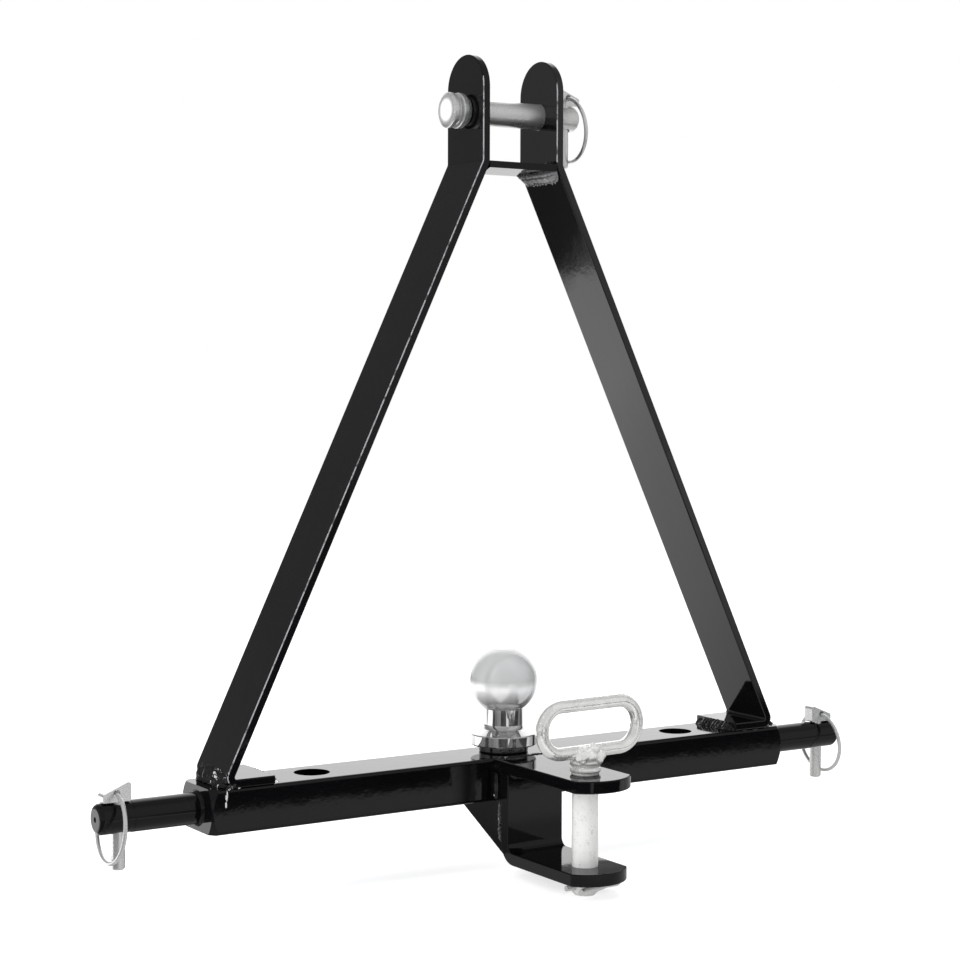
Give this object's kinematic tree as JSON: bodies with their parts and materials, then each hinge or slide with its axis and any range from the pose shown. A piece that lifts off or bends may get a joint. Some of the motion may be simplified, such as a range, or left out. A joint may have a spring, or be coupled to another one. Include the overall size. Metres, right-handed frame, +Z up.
{
  "type": "three-point drawbar",
  "caption": "A-frame drawbar for a tractor's three-point linkage: crossbar with end pins and linchpins, flat-bar mast with a top link pin, tow ball, and a clevis with a drop pin.",
  "frame": {"origin": "midpoint of the two lower hitch pins' common axis, at the centre of the crossbar", "axes": "+X along the crossbar and the lower pins, to the right seen from the clevis side; +Z up the mast; -Y towards the trailer, out of the clevis"},
  "size_m": [0.658, 0.1645, 0.6062],
  "materials": {
    "black_paint": "gloss black enamel, smooth, mirror-like on the plates",
    "weld_paint": "gloss black enamel over rippled weld beads",
    "pin_steel": "turned steel with bright zinc plate",
    "zinc": "bright zinc plate with a faint yellow and blue cast",
    "galvanised": "hot-dip galvanised, mottled and slightly lumpy",
    "spring_wire": "zinc-plated spring wire",
    "chrome": "mirror chrome"
  },
  "bodies": {
    "frame": {"crossbar": "black_paint", "lower_pin_left": "black_paint", "lower_pin_right": "black_paint", "lower_pin_weld_left": "weld_paint", "lower_pin_weld_right": "weld_paint", "brace_left": "black_paint", "brace_right": "black_paint", "mast_spacer_plate": "black_paint", "mast_weld": "weld_paint", "foot_weld_left": "weld_paint", "foot_weld_right": "weld_paint", "clevis_top_plate": "black_paint", "clevis_strap": "black_paint", "clevis_gusset_left": "black_paint", "clevis_gusset_right": "black_paint", "clevis_weld": "weld_paint", "hitch_ball": "chrome", "ball_lock_washer": "zinc", "ball_flat_washer": "zinc", "ball_nut": "zinc"},
    "lower_linchpin_left": {"lower_linchpin_left": "zinc"},
    "lower_ring_left": {"lower_linchpin_ring_left": "spring_wire"},
    "lower_linchpin_right": {"lower_linchpin_right": "zinc"},
    "lower_ring_right": {"lower_linchpin_ring_right": "spring_wire"},
    "top_pin": {"top_pin": "pin_steel"},
    "top_linchpin": {"top_linchpin": "zinc"},
    "top_ring": {"top_linchpin_ring": "spring_wire"},
    "drawbar_pin": {"drawbar_pin": "galvanised", "drawbar_pin_handle": "galvanised", "drawbar_pin_weld": "galvanised", "drawbar_pin_washer": "zinc"},
    "clip": {"drawbar_pin_clip": "spring_wire"}
  },
  "joints": [
    {"name": "lower_linchpin_left_lift", "type": "slide", "parent": "frame", "child": "lower_linchpin_left", "axis": [0, 0, 1], "range_m": [0, 0.056]},
    {"name": "lower_ring_left_flip", "type": "hinge", "parent": "lower_linchpin_left", "child": "lower_ring_left", "pos_m": [-0.3149, 0, 0.0173], "axis": [0, 1, 0], "range_deg": [0, 114]},
    {"name": "lower_linchpin_right_lift", "type": "slide", "parent": "frame", "child": "lower_linchpin_right", "axis": [0, 0, 1], "range_m": [0, 0.056]},
    {"name": "lower_ring_right_flip", "type": "hinge", "parent": "lower_linchpin_right", "child": "lower_ring_right", "pos_m": [0.3149, 0, 0.0173], "axis": [0, -1, 0], "range_deg": [0, 114]},
    {"name": "top_pin_turn", "type": "hinge", "parent": "frame", "child": "top_pin", "pos_m": [0, 0, 0.4935], "axis": [1, 0, 0], "range_deg": [-90, 90]},
    {"name": "top_linchpin_lift", "type": "slide", "parent": "top_pin", "child": "top_linchpin", "axis": [0, 0, 1], "range_m": [0, 0.054]},
    {"name": "top_ring_flip", "type": "hinge", "parent": "top_linchpin", "child": "top_ring", "pos_m": [0.0539, 0, 0.5093], "axis": [0, -1, 0], "range_deg": [0, 110]},
    {"name": "drawbar_pin_turn", "type": "hinge", "parent": "frame", "child": "drawbar_pin", "pos_m": [0, -0.1065, 0], "axis": [0, 0, 1], "continuous": true},
    {"name": "clip_slide", "type": "slide", "parent": "drawbar_pin", "child": "clip", "axis": [0.9986, 0.0523, 0], "range_m": [0, 0.045]}
  ],
  "couplings": [
    {"joint": "lower_ring_left_flip", "follows": "lower_linchpin_left_lift", "rad_per_m": 34.9},
    {"joint": "lower_ring_right_flip", "follows": "lower_linchpin_right_lift", "rad_per_m": 34.9},
    {"joint": "top_ring_flip", "follows": "top_linchpin_lift", "rad_per_m": 34.9}
  ]
}
